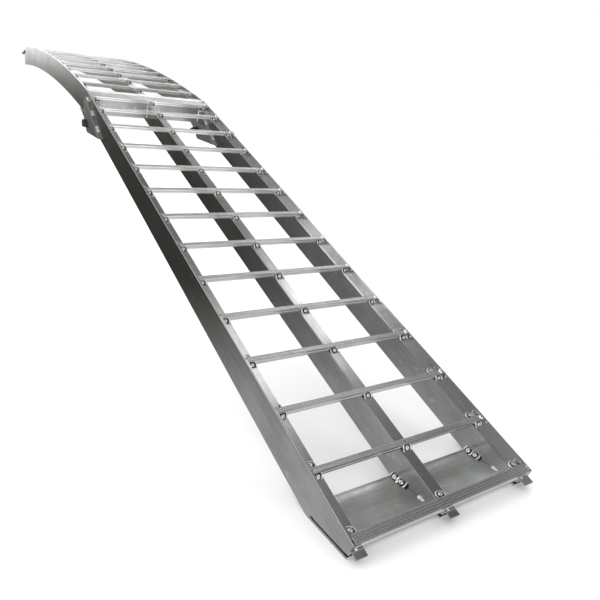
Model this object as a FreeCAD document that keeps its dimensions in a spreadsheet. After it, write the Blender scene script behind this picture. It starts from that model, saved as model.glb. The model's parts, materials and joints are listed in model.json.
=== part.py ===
import FreeCAD, Part
import math
import os
import Sketcher
from FreeCAD import Placement, Rotation, Vector

# Folding arched loading ramp, one of a pair. Millimetres, +Z up, +X to the right of someone who
# walks up the ramp, +Y from the foot to the top end. The origin is on the ground, under the
# middle of the foot. The lower section is straight, the upper section is rolled to an arch, and
# two bolts below the outer rails join them, so that the undersides fold together.
#
# Each section is drawn in its own flat frame: x across, y along the rails, z out of the tread,
# with z = 0 on top of the rails. The rungs stand on the rails.

SIZES = {
    "overall_width": 286.0,
    "incline": 22.0,
    "rung_pitch": 88.9,
    "lower_rungs": 13,
    "upper_rungs": 10,
    "fold_run": 1150.0,
    "butt_gap": 0.4,
    "rail_width": 17.5,
    "rail_depth": 44.5,
    "rail_wall": 2.5,
    "rail_corner": 1.2,
    "lip_height": 10.5,
    "lip_wall": 3.4,
    "sole_lead": 4.5,
    "tab_lead": 14.5,
    "toe_tab_trim": 1.5,
    "toe_depth": 17.0,
    "toe_floor": 3.2,
    "toe_slit": 3.4,
    "slit_stop": 8.0,
    "rung_width": 8.0,
    "rung_height": 7.5,
    "groove_width": 1.2,
    "groove_depth": 0.9,
    "side_groove": 0.8,
    "end_rung_width": 12.4,
    "end_rung_height": 10.5,
    "end_rung_run": 1.8,
    "fold_rung_width": 20.0,
    "fold_rung_set_back": 2.0,
    "cross_depth": 36.0,
    "cross_wall": 2.5,
    "foot_plate_thick": 3.0,
    "foot_plate_front": 7.0,
    "foot_plate_notch": 66.3,
    "foot_plate_bend": 76.0,
    "foot_plate_lip": 7.0,
    "foot_plate_rise": 2.5,
    "foot_plate_inset": 3.0,
    "arch_radius": 4100.0,
    "arch_start": 6.5,
    "upper_run": 932.0,
    "hinge_plate": 5.0,
    "plate_corner": 8.0,
    "plate_length": 140.0,
    "pin_back": 29.0,
    "pin_drop": 55.0,
    "bolt_diameter": 10.0,
    "bolt_fit": 0.1,
    "bolt_slack": 0.4,
    "boss_radius": 10.0,
    "lug_plate": 5.0,
    "lug_length": 87.0,
    "lug_end": 3.0,
    "fold_clearance": 0.4,
    "head_across": 17.0,
    "head_thick": 6.4,
    "nut_thick": 9.0,
    "nut_collar": 3.0,
    "thread_end": 4.0,
    "washer_outer": 20.0,
    "washer_thick": 2.0,
    "spacer_outer": 16.0,
    "finger_inset": 1.5,
    "finger_thick": 9.0,
    "finger_tip": 3.0,
    "finger_bevel": 14.0,
    "finger_reach": 66.0,
    "finger_seat": 30.0,
    "sleeve_wall": 1.6,
    "sleeve_gap": 2.0,
    "sleeve_corner": 1.2,
    "tab_reach": 20.0,
    "tab_height": 34.0,
    "tab_thick": 4.0,
    "tab_corner": 7.0,
}

X_AXIS = Vector(1, 0, 0)
SIDES = {"left": -1, "right": 1}

doc = FreeCAD.newDocument("loading_ramp")
sheet = doc.addObject("Spreadsheet::Sheet", "sizes")
for row, (alias, value) in enumerate(SIZES.items(), start=1):
    sheet.set(f"A{row}", alias)
    sheet.set(f"B{row}", str(value))
    sheet.setAlias(f"B{row}", alias)
doc.recompute()

nodes = []


def size(alias):
    """The value of one driving dimension."""
    return float(getattr(sheet, alias))


def measure(formula):
    """The value of a formula of driving dimensions, such as 'sizes.rail_depth / 2'."""
    return float(sheet.evalExpression(formula))


# ---------------------------------------------------------------- building blocks

def new_body(name, placement, kept=True):
    """A sub-part: one PartDesign body, kept for export unless it is grouped later."""
    body = doc.addObject("PartDesign::Body", name)
    body.Label = name
    body.Placement = placement
    if kept:
        nodes.append(body)
    return body


def new_sketch(body, name, role):
    """A sketch on one of the body's own origin planes."""
    sketch = body.newObject("Sketcher::SketchObject", f"{body.Name}_{name}")
    plane = next(item for item in body.Origin.OriginFeatures if item.Role == role)
    sketch.AttachmentSupport = [(plane, "")]
    sketch.MapMode = "FlatFace"
    return sketch


def bind(sketch, kind, place, formula):
    """A distance of the sketch that follows a formula of driving dimensions."""
    index = sketch.addConstraint(Sketcher.Constraint(kind, *place, measure(formula)))
    sketch.setExpression(f"Constraints[{index}]", formula)


def add_outline(sketch, corners):
    """A closed outline through corners, each a pair of formulas."""
    points = [Vector(measure(across), measure(up), 0) for across, up in corners]
    first = sketch.GeometryCount
    for start, end in zip(points, points[1:] + points[:1]):
        sketch.addGeometry(Part.LineSegment(start, end), False)
    count = len(points)
    for index in range(count):
        following = first + (index + 1) % count
        sketch.addConstraint(Sketcher.Constraint("Coincident", first + index, 2, following, 1))
    for index, (across, up) in enumerate(corners):
        bind(sketch, "DistanceX", (-1, 1, first + index, 1), across)
        bind(sketch, "DistanceY", (-1, 1, first + index, 1), up)


def add_circle(sketch, across, up, radius):
    """A circle whose centre and radius are formulas."""
    centre = Vector(measure(across), measure(up), 0)
    index = sketch.addGeometry(Part.Circle(centre, Vector(0, 0, 1), measure(radius)), False)
    bind(sketch, "DistanceX", (-1, 1, index, 3), across)
    bind(sketch, "DistanceY", (-1, 1, index, 3), up)
    bind(sketch, "Radius", (index,), radius)


def add_hexagon(sketch, across_flats):
    """A regular hexagon about the sketch's origin."""
    reach = f"{across_flats} / sqrt(3)"
    turns = range(0, 360, 60)
    add_outline(sketch, [(f"{reach} * cos({turn}deg)", f"{reach} * sin({turn}deg)") for turn in turns])


def add_turning_axis(sketch, height):
    """A construction line across the sketch at a height formula, for turning about."""
    level = measure(height)
    line = Part.LineSegment(Vector(0, level, 0), Vector(measure("sizes.rail_width"), level, 0))
    index = sketch.addGeometry(line, True)
    for point, across in ((1, "0"), (2, "sizes.rail_width")):
        bind(sketch, "DistanceX", (-1, 1, index, point), across)
        bind(sketch, "DistanceY", (-1, 1, index, point), height)
    return "Axis0"


def pad(body, sketch, length, midplane=True):
    """Thickens a sketch to a length formula, evenly on both sides unless told otherwise."""
    feature = body.newObject("PartDesign::Pad", f"{sketch.Name}_pad")
    feature.Profile = sketch
    feature.Midplane = midplane
    feature.setExpression("Length", length)
    doc.recompute()


def pocket(body, sketch, length=None):
    """Cuts a sketch out of the body on both sides of its plane, right through by default."""
    before = body.Shape.Volume
    feature = body.newObject("PartDesign::Pocket", f"{sketch.Name}_cut")
    feature.Profile = sketch
    feature.Midplane = True
    if length is None:
        feature.Type = "ThroughAll"
    else:
        feature.setExpression("Length", length)
    doc.recompute()
    if body.Shape.Volume >= before:
        raise RuntimeError(f"{feature.Name} removes nothing")


def soften(body, picks, radius):
    """Rounds those edges of the body that a test picks."""
    base = body.Tip
    edges = enumerate(base.Shape.Edges, start=1)
    names = [f"Edge{index}" for index, edge in edges if picks(edge)]
    if not names:
        raise RuntimeError(f"no edge to round on {body.Name}")
    feature = body.newObject("PartDesign::Fillet", f"{body.Name}_soft")
    feature.Base = (base, names)
    feature.setExpression("Radius", radius)
    doc.recompute()


def runs_along(edge, axis):
    """True when an edge is straight and parallel to an axis."""
    if edge.Curve.TypeId != "Part::GeomLine":
        return False
    return abs(abs(edge.tangentAt(edge.FirstParameter).dot(axis)) - 1) < 1e-6


# ---------------------------------------------------------------- where things are

# The ground meets the flat frame of the lower section in a sloping line. The sole of the foot
# runs along it, from under the first rung to the heel, where it meets the rails' undersides.
FOOT_SLOPE = "tan(sizes.incline * 1deg)"
HEEL = f"((sizes.rail_depth - sizes.toe_depth) / {FOOT_SLOPE})"
incline = math.radians(size("incline"))
tip_drop = measure(f"sizes.toe_depth - sizes.sole_lead * {FOOT_SLOPE}")
tip_reach = tip_drop * math.sin(incline) - size("sole_lead") * math.cos(incline)
heel_reach = measure(HEEL) * math.cos(incline) + size("rail_depth") * math.sin(incline)
sole_half = (heel_reach - tip_reach) / 2

half_width = size("overall_width") / 2
rail_places = {
    "left": size("rail_width") / 2 - half_width,
    "middle": 0.0,
    "right": half_width - size("rail_width") / 2,
}
lower_base = Vector(0, -(tip_reach + heel_reach) / 2, size("toe_depth") * math.cos(incline))
lower_frame = Placement(lower_base, Rotation(X_AXIS, size("incline")))
fold_line = Placement(Vector(0, size("fold_run"), 0), Rotation(X_AXIS, -size("arch_start")))
upper_frame = lower_frame * fold_line


def on_lower(run, across=0.0, rise=0.0):
    """A place by the lower rails, a run up from the first rung and a rise above the rails."""
    return lower_frame * Placement(Vector(across, run, rise), Rotation())


def on_upper(run, across=0.0, rise=0.0):
    """A place by the upper rails, an arc length up from the fold and a rise above the rails,
    square to the arch."""
    radius = size("arch_radius")
    turn = Rotation(X_AXIS, -math.degrees(run / radius))
    centre = Placement(Vector(across, 0, -radius), turn)
    return upper_frame * centre * Placement(Vector(0, 0, radius + rise), Rotation())


def on_pin(across):
    """A place on the axis of the hinge bolts."""
    return on_lower(size("fold_run") - size("pin_back"), across, -size("pin_drop"))


def stacked(side, depth):
    """A place on the bolt axis, a depth inboard of the outer face of an outer rail, with the
    local x axis pointing inboard."""
    facing = Rotation(Vector(0, 0, 1), 0 if side == "left" else 180)
    return on_pin(SIDES[side] * (half_width - depth)) * Placement(Vector(), facing)


def arch_point(run, rise):
    """Where an arc length and a height above the rail lie in the frame of the arch's start."""
    turn = f"({run} / sizes.arch_radius * 1rad)"
    reach = f"(sizes.arch_radius + {rise})"
    return f"{reach} * sin({turn})", f"{reach} * cos({turn}) - sizes.arch_radius"


# ---------------------------------------------------------------- rails

def lower_rail(side):
    """A straight rectangular tube. Its sides are cut level with the ground at the foot, and its
    bottom wall is bent up to close the cut, with a slit left for the foot plate. Its top wall
    runs on ahead of the first rung as a tab. An outer rail has a lip along its outer edge that
    stands above the tread, and the rungs end against it."""
    body = new_body(f"lower_rail_{side}", on_lower(0, rail_places[side]))
    ahead = "(-sizes.tab_lead - 5)"
    beyond = "(sizes.fold_run + 5)"
    end = "sizes.fold_run - sizes.butt_gap / 2"

    def sole_point(run, thickness):
        """A point at a run along the rail, a thickness above the ground."""
        return run, f"({thickness}) / cos(sizes.incline * 1deg) - sizes.toe_depth - {run} * {FOOT_SLOPE}"

    outside = new_sketch(body, "outside", "YZ_Plane")
    top = [(end, "0")]
    if side in SIDES:
        top = [
            ("-sizes.sole_lead", "0"),
            ("-sizes.sole_lead", "sizes.lip_height"),
            (end, "sizes.lip_height"),
        ]
    add_outline(outside, [
        ("-sizes.tab_lead", "0"),
        *top,
        (end, "-sizes.rail_depth"),
        (HEEL, "-sizes.rail_depth"),
        sole_point("(-sizes.tab_lead)", "0"),
    ])
    pad(body, outside, "sizes.rail_width")
    soften(body, lambda edge: runs_along(edge, Vector(0, 1, 0)), "sizes.rail_corner")
    if side in SIDES:
        inward = "-" if side == "right" else ""
        ledge = new_sketch(body, "ledge", "XZ_Plane")
        add_outline(ledge, [
            (f"{inward}(sizes.lip_wall - sizes.rail_width / 2)", "0"),
            (f"{inward}(sizes.rail_width / 2 + 1)", "0"),
            (f"{inward}(sizes.rail_width / 2 + 1)", "sizes.lip_height + 1"),
            (f"{inward}(sizes.lip_wall - sizes.rail_width / 2)", "sizes.lip_height + 1"),
        ])
        pocket(body, ledge)

    inside = new_sketch(body, "inside", "YZ_Plane")
    rise = "(sizes.toe_floor / cos(sizes.incline * 1deg) - sizes.rail_wall)"
    add_outline(inside, [
        (ahead, "-sizes.rail_wall"),
        (beyond, "-sizes.rail_wall"),
        (beyond, "sizes.rail_wall - sizes.rail_depth"),
        (f"({HEEL} + {rise} / {FOOT_SLOPE})", "sizes.rail_wall - sizes.rail_depth"),
        sole_point(ahead, "sizes.toe_floor"),
    ])
    pocket(body, inside, "sizes.rail_width - 2 * sizes.rail_wall")

    slit = new_sketch(body, "slit", "YZ_Plane")
    stop = f"({HEEL} - sizes.slit_stop)"
    add_outline(slit, [
        sole_point(ahead, "sizes.toe_floor"),
        sole_point(stop, "sizes.toe_floor"),
        sole_point(stop, "sizes.toe_floor + sizes.toe_slit"),
        sole_point(ahead, "sizes.toe_floor + sizes.toe_slit"),
    ])
    pocket(body, slit)

    below = new_sketch(body, "below_tab", "YZ_Plane")
    add_outline(below, [
        (ahead, "-sizes.rail_wall"),
        ("-sizes.sole_lead", "-sizes.rail_wall"),
        ("-sizes.sole_lead", "-sizes.rail_depth"),
        (ahead, "-sizes.rail_depth"),
    ])
    pocket(body, below)
    beside = new_sketch(body, "beside_tab", "XY_Plane")
    half = "(sizes.rail_width / 2)"
    for sign in ("-", ""):
        add_outline(beside, [
            (f"{sign}({half} - sizes.toe_tab_trim)", ahead),
            (f"{sign}({half} - sizes.toe_tab_trim)", "-sizes.sole_lead"),
            (f"{sign}({half} + 1)", "-sizes.sole_lead"),
            (f"{sign}({half} + 1)", ahead),
        ])
    pocket(body, beside)


def upper_rail(side):
    """The same tube rolled to the arch. It is a little narrower, to clear the hinge plates, is
    mitred at the fold, and has a step at its top end for the finger."""
    body = new_body(f"upper_rail_{side}", on_upper(0, rail_places[side]))
    section = new_sketch(body, "section", "XZ_Plane")
    half = "(sizes.rail_width / 2 - sizes.fold_clearance)"
    outward = "-" if side == "left" else ""
    lip = []
    if side in SIDES:
        lip_face = f"{outward}(sizes.rail_width / 2 - sizes.lip_wall)"
        lip = [
            (lip_face, "0"),
            (lip_face, "sizes.lip_height"),
            (f"{outward}{half}", "sizes.lip_height"),
        ]
    far_corner = [] if lip else [(half, "0")]
    inward = "" if outward else "-"
    add_outline(section, [
        (f"{inward}{half}", "0"),
        *lip,
        *far_corner,
        (f"{outward}{half}", "-sizes.rail_depth"),
        (f"{inward}{half}", "-sizes.rail_depth"),
    ])
    hollow = f"({half} - sizes.rail_wall)"
    add_outline(section, [
        (f"-{hollow}", "-sizes.rail_wall"),
        (hollow, "-sizes.rail_wall"),
        (hollow, "sizes.rail_wall - sizes.rail_depth"),
        (f"-{hollow}", "sizes.rail_wall - sizes.rail_depth"),
    ])
    axis = add_turning_axis(section, "-sizes.arch_radius")
    roll = body.newObject("PartDesign::Revolution", f"{body.Name}_roll")
    roll.Profile = section
    roll.ReferenceAxis = (section, [axis])
    roll.Reversed = True
    roll.setExpression("Angle", "sizes.upper_run / sizes.arch_radius * 180 / pi")
    doc.recompute()
    if body.Shape.BoundBox.YLength < size("upper_run") / 2:
        raise RuntimeError(f"{body.Name} is not rolled")

    mitre = new_sketch(body, "mitre", "YZ_Plane")
    lean = "tan(sizes.arch_start * 1deg)"
    above = "(sizes.lip_height + 5)"
    below = "(sizes.rail_depth + 5)"
    add_outline(mitre, [
        ("-20", above),
        (f"sizes.butt_gap / 2 - {above} * {lean}", above),
        (f"sizes.butt_gap / 2 + {below} * {lean}", f"-{below}"),
        ("-20", f"-{below}"),
    ])
    pocket(body, mitre)

    seat = new_sketch(body, "finger_seat", "YZ_Plane")
    start = "(sizes.upper_run - sizes.finger_seat)"
    beyond = "(sizes.upper_run + 5)"
    add_outline(seat, [
        arch_point(start, above),
        arch_point(beyond, above),
        arch_point(beyond, "-sizes.finger_thick"),
        arch_point(start, "-sizes.finger_thick"),
    ])
    pocket(body, seat)


# ---------------------------------------------------------------- rungs and cross tubes

def ridged_bar(name, placement, width, height, grooves):
    """An extruded bar across the ramp with lengthwise grooves in its top, for grip, and one in
    each side."""
    body = new_body(name, placement)
    profile = new_sketch(body, "profile", "YZ_Plane")
    flank = [
        (f"{width} / 2", f"{height} / 2 - sizes.side_groove"),
        (f"{width} / 2 - sizes.side_groove", f"{height} / 2"),
        (f"{width} / 2", f"{height} / 2 + sizes.side_groove"),
    ]
    corners = [(f"-{width} / 2", "0")]
    corners += [(f"-({across})", up) for across, up in flank]
    corners.append((f"-{width} / 2", height))
    for index in range(grooves):
        middle = f"{width} * ({index + 0.5} / {grooves} - 0.5)"
        corners.append((f"{middle} - sizes.groove_width / 2", height))
        corners.append((middle, f"{height} - sizes.groove_depth"))
        corners.append((f"{middle} + sizes.groove_width / 2", height))
    corners.append((f"{width} / 2", height))
    corners += reversed(flank)
    corners.append((f"{width} / 2", "0"))
    add_outline(profile, corners)
    pad(body, profile, "sizes.overall_width - 2 * sizes.lip_wall")


def cross_tube(name, placement, length):
    """A deep rectangular tube between two rails, under the rung at the fold."""
    body = new_body(name, placement)
    profile = new_sketch(body, "profile", "YZ_Plane")
    half = "sizes.fold_rung_width / 2"
    for inset in ("0", "sizes.cross_wall"):
        add_outline(profile, [
            (f"{inset} - {half}", f"-{inset}"),
            (f"{half} - {inset}", f"-{inset}"),
            (f"{half} - {inset}", f"{inset} - sizes.cross_depth"),
            (f"{inset} - {half}", f"{inset} - sizes.cross_depth"),
        ])
    pad(body, profile, length)


# ---------------------------------------------------------------- foot

def foot_plate():
    """A sheet across the foot. It lies in the slits of the three rails, and its rear edge is
    turned up between them."""
    lift = size("toe_floor") + (size("toe_slit") - size("foot_plate_thick")) / 2
    body = new_body("foot_plate", Placement(Vector(0, -sole_half, lift), Rotation()))
    profile = new_sketch(body, "profile", "YZ_Plane")
    lip_end = "sizes.foot_plate_bend + sizes.foot_plate_lip"
    add_outline(profile, [
        ("sizes.foot_plate_front", "0"),
        ("sizes.foot_plate_bend", "0"),
        (lip_end, "sizes.foot_plate_rise"),
        (f"{lip_end} - 0.34 * sizes.foot_plate_thick",
         "sizes.foot_plate_rise + 0.94 * sizes.foot_plate_thick"),
        ("sizes.foot_plate_bend - 0.18 * sizes.foot_plate_thick", "sizes.foot_plate_thick"),
        ("sizes.foot_plate_front", "sizes.foot_plate_thick"),
    ])
    pad(body, profile, "sizes.overall_width - 2 * sizes.foot_plate_inset")
    notches = new_sketch(body, "notches", "XY_Plane")
    half = "(sizes.rail_width / 2 + 1)"
    outer = "(sizes.overall_width / 2 - sizes.rail_width / 2)"
    for middle in (f"-{outer}", "0", outer):
        add_outline(notches, [
            (f"{middle} - {half}", "sizes.foot_plate_notch"),
            (f"{middle} + {half}", "sizes.foot_plate_notch"),
            (f"{middle} + {half}", f"{lip_end} + 5"),
            (f"{middle} - {half}", f"{lip_end} + 5"),
        ])
    pocket(body, notches)


# ---------------------------------------------------------------- fold hinges

def hinge_plate(name, across):
    """A four-sided plate on one face of a lower outer rail. Its long slanting edge is welded to
    the rail, and its nose carries the bolt below the rail."""
    body = new_body(name, on_lower(size("fold_run"), across))
    profile = new_sketch(body, "profile", "YZ_Plane")
    nose = "-sizes.pin_drop - sizes.boss_radius"
    add_outline(profile, [
        ("-1.5", "0"),
        ("2.5", "-sizes.rail_depth - 3"),
        ("sizes.boss_radius - sizes.pin_back", nose),
        ("-sizes.pin_back - 8", f"{nose} - 8"),
        ("-sizes.plate_length", "3 - sizes.rail_depth"),
    ])
    pad(body, profile, "sizes.hinge_plate")
    low = -size("rail_depth") - 8
    soften(
        body,
        lambda edge: runs_along(edge, X_AXIS) and edge.CenterOfMass.z < low,
        "sizes.plate_corner",
    )
    hole = new_sketch(body, "hole", "YZ_Plane")
    add_circle(hole, "-sizes.pin_back", "-sizes.pin_drop",
               "(sizes.bolt_diameter + sizes.bolt_slack) / 2")
    pocket(body, hole)


def hinge_lug(name, across):
    """A plate welded under an upper outer rail, running back under the fold to the bolt."""
    body = new_body(name, on_pin(across))
    boss = new_sketch(body, "boss", "YZ_Plane")
    add_circle(boss, "0", "0", "sizes.boss_radius")
    pad(body, boss, "sizes.lug_plate")
    arm = new_sketch(body, "arm", "YZ_Plane")
    start = "(sizes.pin_drop - sizes.rail_depth - 0.5)"
    fall = "(sizes.lug_length - sizes.pin_back) * tan((sizes.arch_start + 0.8) * 1deg)"
    add_outline(arm, [
        ("0", "-sizes.boss_radius"),
        ("sizes.pin_back", "1 - sizes.boss_radius"),
        ("sizes.lug_length", f"{start} - {fall} - sizes.lug_end"),
        ("sizes.lug_length", f"{start} - {fall}"),
        ("sizes.pin_back", start),
        ("0", "sizes.boss_radius"),
    ])
    pad(body, arm, "sizes.lug_plate")
    hole = new_sketch(body, "hole", "YZ_Plane")
    add_circle(hole, "0", "0", "(sizes.bolt_diameter + sizes.bolt_fit) / 2")
    pocket(body, hole)


def hinge_bolt(side):
    """A hex bolt through the plates and lugs of one hinge, with its head outboard."""
    start = -(size("hinge_plate") + size("washer_thick") + size("head_thick"))
    body = new_body(f"hinge_bolt_{side}", stacked(side, start))
    head = new_sketch(body, "head", "YZ_Plane")
    add_hexagon(head, "sizes.head_across")
    pad(body, head, "sizes.head_thick", midplane=False)
    shank = new_sketch(body, "shank", "YZ_Plane")
    add_circle(shank, "0", "0", "sizes.bolt_diameter / 2")
    clamped = "2 * sizes.washer_thick + 2 * sizes.hinge_plate + sizes.rail_width"
    beyond = "sizes.nut_thick + sizes.nut_collar + sizes.thread_end"
    pad(body, shank, f"sizes.head_thick + {clamped} + {beyond}", midplane=False)


def hinge_nut(side):
    """A lock nut with a round collar, inboard of the inner plate."""
    start = size("rail_width") + size("hinge_plate") + size("washer_thick")
    body = new_body(f"hinge_nut_{side}", stacked(side, start))
    flats = new_sketch(body, "flats", "YZ_Plane")
    add_hexagon(flats, "sizes.head_across")
    pad(body, flats, "sizes.nut_thick", midplane=False)
    collar = new_sketch(body, "collar", "YZ_Plane")
    add_circle(collar, "0", "0", "sizes.head_across / 2 - 1.2")
    pad(body, collar, "sizes.nut_thick + sizes.nut_collar", midplane=False)
    bore = new_sketch(body, "bore", "YZ_Plane")
    add_circle(bore, "0", "0", "sizes.bolt_diameter / 2")
    pocket(body, bore)


def ring(name, placement, outer, bore, length, kept=True):
    """A washer or a plain tube about the bolt axis."""
    body = new_body(name, placement, kept)
    profile = new_sketch(body, "profile", "YZ_Plane")
    add_circle(profile, "0", "0", f"{outer} / 2")
    add_circle(profile, "0", "0", f"{bore} / 2")
    pad(body, profile, length, midplane=False)
    return body


def hinge_washers(side):
    """The two washers of one hinge bolt, one under the head and one under the nut."""
    starts = {
        "head": -size("hinge_plate") - size("washer_thick"),
        "nut": size("rail_width") + size("hinge_plate"),
    }
    washers = [
        ring(f"{end}_washer_{side}", stacked(side, start), "sizes.washer_outer",
             "(sizes.bolt_diameter + 1)", "sizes.washer_thick", kept=False)
        for end, start in starts.items()
    ]
    group = doc.addObject("Part::Compound", f"hinge_washers_{side}")
    group.Label = f"hinge_washers_{side}"
    group.Links = washers
    nodes.append(group)


# ---------------------------------------------------------------- top end and side tabs

FINGER_WIDTH = "(sizes.rail_width - 2 * sizes.fold_clearance - 2 * sizes.finger_inset)"
FINGER_BASE = "(0.2 - sizes.finger_thick)"
FINGER_TOP = "0.2"


def top_finger(side):
    """A flat bar on the stepped end of an upper rail, flat below and bevelled above."""
    body = new_body(f"top_finger_{side}", on_upper(size("upper_run"), rail_places[side]))
    profile = new_sketch(body, "profile", "YZ_Plane")
    add_outline(profile, [
        ("0.5 - sizes.finger_seat", FINGER_BASE),
        ("sizes.finger_reach", FINGER_BASE),
        ("sizes.finger_reach", f"{FINGER_BASE} + sizes.finger_tip"),
        ("sizes.finger_bevel", FINGER_TOP),
        ("0.5 - sizes.finger_seat", FINGER_TOP),
    ])
    pad(body, profile, FINGER_WIDTH)


def finger_sleeve(side):
    """A dipped vinyl cap over the part of a finger that stands out of the rail."""
    body = new_body(f"finger_sleeve_{side}", on_upper(size("upper_run"), rail_places[side]))
    wall = "sizes.sleeve_wall"
    outside = new_sketch(body, "outside", "YZ_Plane")
    add_outline(outside, [
        ("sizes.sleeve_gap", f"{FINGER_BASE} - {wall}"),
        (f"sizes.finger_reach + {wall}", f"{FINGER_BASE} - {wall}"),
        (f"sizes.finger_reach + {wall}", f"{FINGER_BASE} + sizes.finger_tip + {wall}"),
        (f"sizes.finger_bevel + 0.2 * {wall}", f"{FINGER_TOP} + {wall}"),
        ("sizes.sleeve_gap", f"{FINGER_TOP} + {wall}"),
    ])
    pad(body, outside, f"{FINGER_WIDTH} + 2 * {wall}")
    root = size("sleeve_gap") + 1
    soften(body, lambda edge: edge.CenterOfMass.y > root, "sizes.sleeve_corner")
    inside = new_sketch(body, "inside", "YZ_Plane")
    add_outline(inside, [
        ("-1", FINGER_BASE),
        ("sizes.finger_reach", FINGER_BASE),
        ("sizes.finger_reach", f"{FINGER_BASE} + sizes.finger_tip"),
        ("sizes.finger_bevel", FINGER_TOP),
        ("-1", FINGER_TOP),
    ])
    pocket(body, inside, FINGER_WIDTH)


def side_tab(name, placement):
    """A small rounded plate standing out from the outer face of a right rail."""
    body = new_body(name, placement)
    profile = new_sketch(body, "profile", "XZ_Plane")
    add_outline(profile, [
        ("0", "0"),
        ("sizes.tab_reach", "0"),
        ("sizes.tab_reach", "-sizes.tab_height * 0.6"),
        ("0", "-sizes.tab_height"),
    ])
    pad(body, profile, "sizes.tab_thick")
    soften(
        body,
        lambda edge: runs_along(edge, Vector(0, 1, 0)) and edge.CenterOfMass.x > 1,
        "sizes.tab_corner",
    )


# ---------------------------------------------------------------- the whole ramp

def fold_joint(side):
    """The cross tubes and the hinge of one side of the fold."""
    sign = SIDES[side]
    bay = "((sizes.overall_width - 3 * sizes.rail_width) / 2"
    bay_middle = sign * (half_width / 2 - size("rail_width") / 4)
    plate_room = sign * (size("hinge_plate") + 0.2) / 2
    lower_place = on_lower(size("fold_run") - fold_rung_middle, bay_middle - plate_room)
    cross_tube(f"lower_cross_tube_{side}", lower_place, f"{bay} - sizes.hinge_plate - 0.2)")
    mitre_room = size("cross_depth") * math.tan(math.radians(size("arch_start")))
    upper_place = on_upper(fold_rung_middle + mitre_room, bay_middle, -0.1)
    cross_tube(f"upper_cross_tube_{side}", upper_place, f"{bay} + sizes.fold_clearance)")

    inner_face = half_width - size("rail_width")
    plate_half = size("hinge_plate") / 2
    hinge_plate(f"outer_hinge_plate_{side}", sign * (half_width + plate_half))
    hinge_plate(f"inner_hinge_plate_{side}", sign * (inner_face - plate_half))
    lug_half = size("fold_clearance") + size("lug_plate") / 2
    hinge_lug(f"outer_hinge_lug_{side}", sign * (half_width - lug_half))
    hinge_lug(f"inner_hinge_lug_{side}", sign * (inner_face + lug_half))
    hinge_bolt(side)
    hinge_nut(side)
    hinge_washers(side)
    spacer_start = size("fold_clearance") + size("lug_plate") + 0.1
    ring(f"hinge_spacer_{side}", stacked(side, spacer_start), "sizes.spacer_outer",
         "(sizes.bolt_diameter + sizes.bolt_slack)",
         "sizes.rail_width - 2 * (sizes.fold_clearance + sizes.lug_plate + 0.1)")


PLAIN_RUNG = ("sizes.rung_width", "sizes.rung_height", 3)
END_RUNG = ("sizes.end_rung_width", "sizes.end_rung_height", 4)
FOLD_RUNG = ("sizes.fold_rung_width", "sizes.rung_height", 5)
fold_rung_middle = size("fold_rung_set_back") + size("fold_rung_width") / 2

for side in rail_places:
    lower_rail(side)
    upper_rail(side)
    top_finger(side)
    finger_sleeve(side)
for index in range(int(size("lower_rungs"))):
    shape = END_RUNG if index == 0 else PLAIN_RUNG
    run = size("end_rung_run") if index == 0 else index * size("rung_pitch")
    ridged_bar(f"lower_rung_{index + 1:02d}", on_lower(run), *shape)
for index in range(int(size("upper_rungs"))):
    ridged_bar(f"upper_rung_{index + 1:02d}", on_upper((index + 1) * size("rung_pitch")), *PLAIN_RUNG)
ridged_bar("lower_fold_rung", on_lower(size("fold_run") - fold_rung_middle), *FOLD_RUNG)
ridged_bar("upper_fold_rung", on_upper(fold_rung_middle), *FOLD_RUNG)
for side in SIDES:
    fold_joint(side)
foot_plate()
side_tab("lower_side_tab", on_lower(11.25 * size("rung_pitch"), half_width))
side_tab("upper_side_tab", on_upper(4.7 * size("rung_pitch"), half_width - size("fold_clearance")))

doc.recompute()
for item in doc.Objects:
    if "Invalid" in item.State or "Error" in item.State:
        raise RuntimeError(f"{item.Name} failed: {item.State}")
os.makedirs("parts", exist_ok=True)
for node in nodes:
    if node.Shape.isNull() or not node.Shape.isValid() or not node.Shape.Solids:
        raise RuntimeError(f"{node.Label} has no valid solid")
    node.Shape.exportStep(f"parts/{node.Label}.step")
print(f"{len(nodes)} sub-parts written")
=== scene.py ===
import json
import math
import random

import bpy
from mathutils import Matrix, Vector


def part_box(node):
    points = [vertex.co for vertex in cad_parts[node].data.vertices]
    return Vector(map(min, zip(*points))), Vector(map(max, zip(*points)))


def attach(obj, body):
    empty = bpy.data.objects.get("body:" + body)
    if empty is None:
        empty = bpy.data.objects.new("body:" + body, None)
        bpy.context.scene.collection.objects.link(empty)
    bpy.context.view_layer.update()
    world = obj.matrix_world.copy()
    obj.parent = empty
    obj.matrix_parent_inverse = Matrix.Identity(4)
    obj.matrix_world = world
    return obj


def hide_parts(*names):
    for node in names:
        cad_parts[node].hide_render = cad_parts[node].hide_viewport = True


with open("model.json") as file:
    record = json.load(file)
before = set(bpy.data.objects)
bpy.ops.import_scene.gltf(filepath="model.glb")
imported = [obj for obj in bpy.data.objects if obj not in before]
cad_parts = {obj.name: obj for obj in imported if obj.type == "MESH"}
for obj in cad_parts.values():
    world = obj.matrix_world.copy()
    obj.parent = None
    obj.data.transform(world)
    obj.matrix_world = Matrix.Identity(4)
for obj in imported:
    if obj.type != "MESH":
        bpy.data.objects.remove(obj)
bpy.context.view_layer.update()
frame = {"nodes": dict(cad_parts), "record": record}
rng = random.Random(11)

# ---------------------------------------------------------------- places, as in the CAD, in metres

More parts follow.
